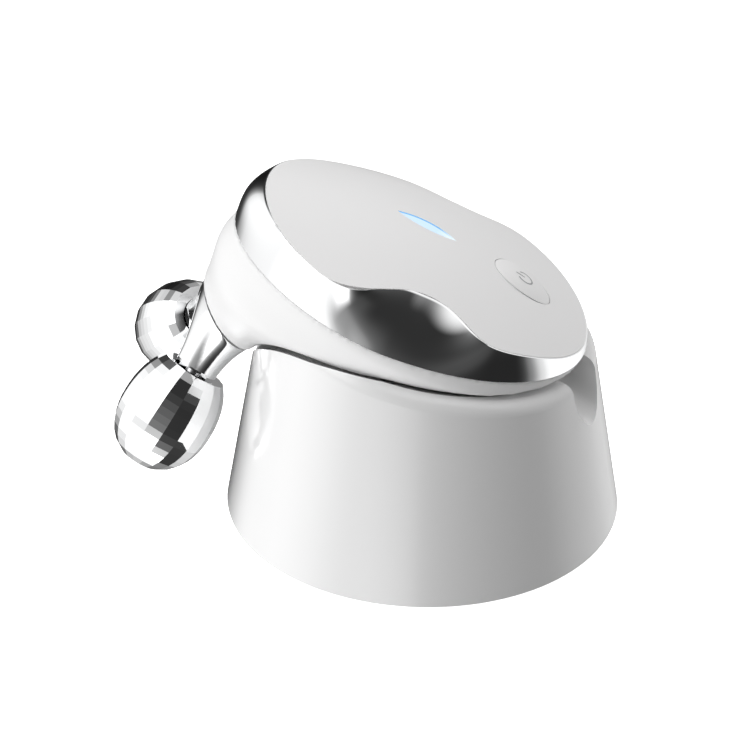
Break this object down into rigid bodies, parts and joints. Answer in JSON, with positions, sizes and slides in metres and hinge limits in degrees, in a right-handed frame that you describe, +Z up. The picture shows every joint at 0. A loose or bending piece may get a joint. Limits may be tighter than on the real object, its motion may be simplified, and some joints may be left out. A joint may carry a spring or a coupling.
{
  "type": "facial toning device",
  "caption": "Palm-held facial toning device with faceted rollers on a turning head, a domed cover in a chrome band, and a tilted charging stand.",
  "frame": {"origin": "centre of the stand's foot, on the surface it stands on", "axes": "+X from the roller head towards the hand-set's tail, along the device; +Z up; -Y is the side that the left roller is on"},
  "size_m": [0.1202, 0.0918, 0.0772],
  "materials": {
    "stand_white": "glossy moulded ABS",
    "base_grey": "satin moulded ABS",
    "pad_rubber": "matt non-slip silicone",
    "ballast_steel": "plain steel plate",
    "circuit_board": "solder-masked board",
    "socket_steel": "drawn steel",
    "screw_steel": "zinc-plated steel",
    "coil_copper": "enamelled copper winding",
    "ferrite_grey": "sintered ferrite",
    "cover_white": "glossy moulded ABS",
    "band_chrome": "mirror chrome plating",
    "shell_white": "glossy moulded ABS",
    "button_white": "satin-gloss moulded ABS",
    "switch_black": "tactile switch housing",
    "lens_blue": "frosted clear light guide",
    "led_body": "side-emitting diode package",
    "circuit_board_main": "solder-masked board",
    "frame_grey": "moulded ABS",
    "battery_foil": "pouch cell foil",
    "tray_grey": "moulded ABS",
    "case_screw_steel": "zinc-plated steel",
    "coil_copper_handset": "enamelled copper winding",
    "ferrite_handset": "sintered ferrite",
    "bush_pom": "acetal",
    "washer_steel": "ground steel",
    "spring_steel": "wave spring",
    "clip_steel": "blackened spring steel",
    "fork_chrome": "mirror chrome plating",
    "axle_steel_left": "ground steel pin",
    "axle_clip_steel_left": "blackened spring steel",
    "roller_chrome_left": "faceted mirror plating",
    "roller_bush_pom_left": "acetal",
    "roller_plug_chrome_left": "mirror plating",
    "axle_steel_right": "ground steel pin",
    "axle_clip_steel_right": "blackened spring steel",
    "roller_chrome_right": "faceted mirror plating",
    "roller_bush_pom_right": "acetal",
    "roller_plug_chrome_right": "mirror plating"
  },
  "bodies": {
    "stand": {"stand_shell": "stand_white", "stand_base_plate": "base_grey", "stand_foot_pad": "pad_rubber", "stand_ballast": "ballast_steel", "stand_charging_board": "circuit_board", "stand_charging_inlet": "socket_steel", "stand_base_screws": "screw_steel", "stand_coil": "coil_copper", "stand_ferrite": "ferrite_grey"},
    "handset": {"top_cover": "cover_white", "chrome_band": "band_chrome", "rear_shell": "shell_white", "power_switch": "switch_black", "indicator_lens": "lens_blue", "indicator_led": "led_body", "main_board": "circuit_board_main", "inner_frame": "frame_grey", "battery": "battery_foil", "battery_tray": "tray_grey", "case_screws": "case_screw_steel", "handset_coil": "coil_copper_handset", "handset_ferrite": "ferrite_handset", "neck_bush": "bush_pom", "neck_washer": "washer_steel", "neck_spring": "spring_steel"},
    "button": {"power_button": "button_white"},
    "roller_head": {"fork": "fork_chrome", "neck_clip": "clip_steel", "axle_left": "axle_steel_left", "axle_right": "axle_steel_right", "axle_clip_left": "axle_clip_steel_left", "axle_clip_right": "axle_clip_steel_right"},
    "left_roller": {"roller_left": "roller_chrome_left", "roller_bushes_left": "roller_bush_pom_left", "roller_plug_left": "roller_plug_chrome_left"},
    "right_roller": {"roller_right": "roller_chrome_right", "roller_bushes_right": "roller_bush_pom_right", "roller_plug_right": "roller_plug_chrome_right"}
  },
  "joints": [
    {"name": "handset_lift", "type": "slide", "parent": "stand", "child": "handset", "axis": [0, 0, 1], "range_m": [0, 0.08]},
    {"name": "button_press", "type": "slide", "parent": "handset", "child": "button", "axis": [-0.3351, 0, -0.9422], "range_m": [0, 0.0004], "stiffness_N_per_m": 2500},
    {"name": "head_swivel", "type": "hinge", "parent": "handset", "child": "roller_head", "pos_m": [-0.0446, 0, 0.0436], "axis": [-0.866, 0, -0.5], "range_deg": [-2.55, 37.45]},
    {"name": "left_roller_spin", "type": "hinge", "parent": "roller_head", "child": "left_roller", "pos_m": [-0.05747, -0.01186, 0.02142], "axis": [-0.4815, -0.37, -0.7945], "continuous": true},
    {"name": "right_roller_spin", "type": "hinge", "parent": "roller_head", "child": "right_roller", "pos_m": [-0.06201, 0.01703, 0.02929], "axis": [-0.6275, 0.5594, -0.5415], "continuous": true}
  ]
}
